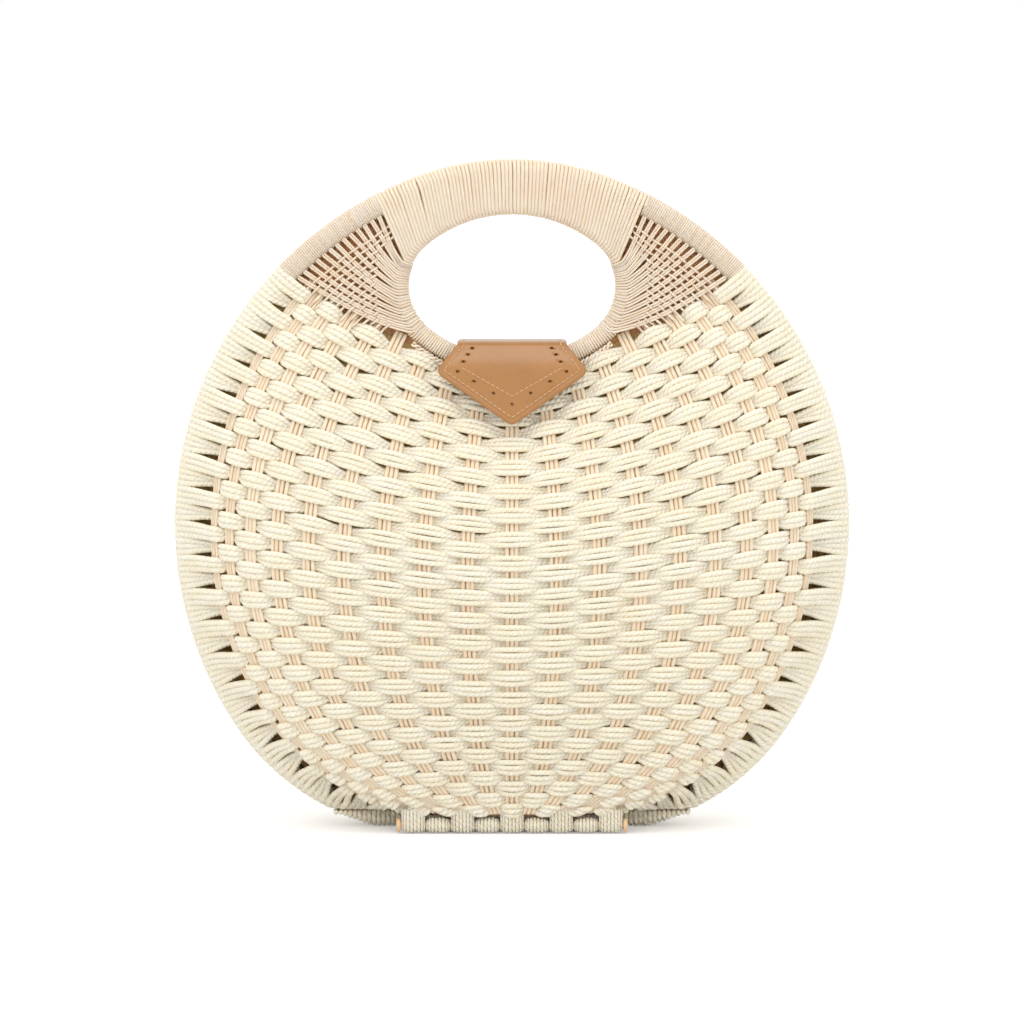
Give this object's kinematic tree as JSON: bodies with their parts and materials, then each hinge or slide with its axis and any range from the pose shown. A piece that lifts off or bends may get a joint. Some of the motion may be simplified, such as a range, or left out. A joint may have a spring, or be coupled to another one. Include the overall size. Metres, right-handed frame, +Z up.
{
  "type": "woven clamshell handbag",
  "caption": "Round clamshell handbag of woven paper cord on cane hoops, with an oval hand hole, a hinged front shell and a magnetic leather tongue.",
  "frame": {"origin": "on the ground under the middle of the bag", "axes": "+Z up, -Y to the front, +X to the viewer's right; the shells part at Y = 0"},
  "size_m": [0.3032, 0.1016, 0.3],
  "materials": {
    "paper_cord": "matt twisted paper cord, cream",
    "fine_cane": "satin fine round cane, pale peach",
    "cane": "satin peeled cane",
    "leather": "satin tan leather",
    "lining": "matt cotton lining",
    "magnet": "nickel plated"
  },
  "bodies": {
    "back_shell": {"base_rim": "paper_cord", "base_board": "lining", "hinge_rod": "cane", "base_loops": "paper_cord", "back_outer_hoop": "cane", "back_oval_hoop": "cane", "back_grip_binding": "fine_cane", "back_cane_binding": "fine_cane", "back_cord_binding": "paper_cord", "back_oval_binding": "fine_cane", "back_lattice_left": "fine_cane", "back_lattice_right": "fine_cane", "back_weave": "paper_cord", "back_stakes": "cane", "back_lining": "lining", "back_saddle": "leather", "keeper_magnet": "magnet"},
    "front_shell": {"front_rail": "cane", "front_loops": "paper_cord", "front_outer_hoop": "cane", "front_oval_hoop": "cane", "front_grip_binding": "fine_cane", "front_cane_binding": "fine_cane", "front_cord_binding": "paper_cord", "front_oval_binding": "fine_cane", "front_lattice_left": "fine_cane", "front_lattice_right": "fine_cane", "front_weave": "paper_cord", "front_stakes": "cane", "front_lining": "lining", "front_saddle": "leather", "leather_tab": "leather"},
    "tongue": {"tongue": "leather", "tongue_magnet": "magnet"}
  },
  "joints": [
    {"name": "front_opens", "type": "hinge", "parent": "back_shell", "child": "front_shell", "pos_m": [0, -0.0295, 0.0038], "axis": [1, 0, 0], "range_deg": [0, 35]},
    {"name": "tongue_lifts", "type": "hinge", "parent": "front_shell", "child": "tongue", "pos_m": [0, -0.0076, 0.21766], "axis": [1, 0, 0], "range_deg": [0, 100]}
  ]
}
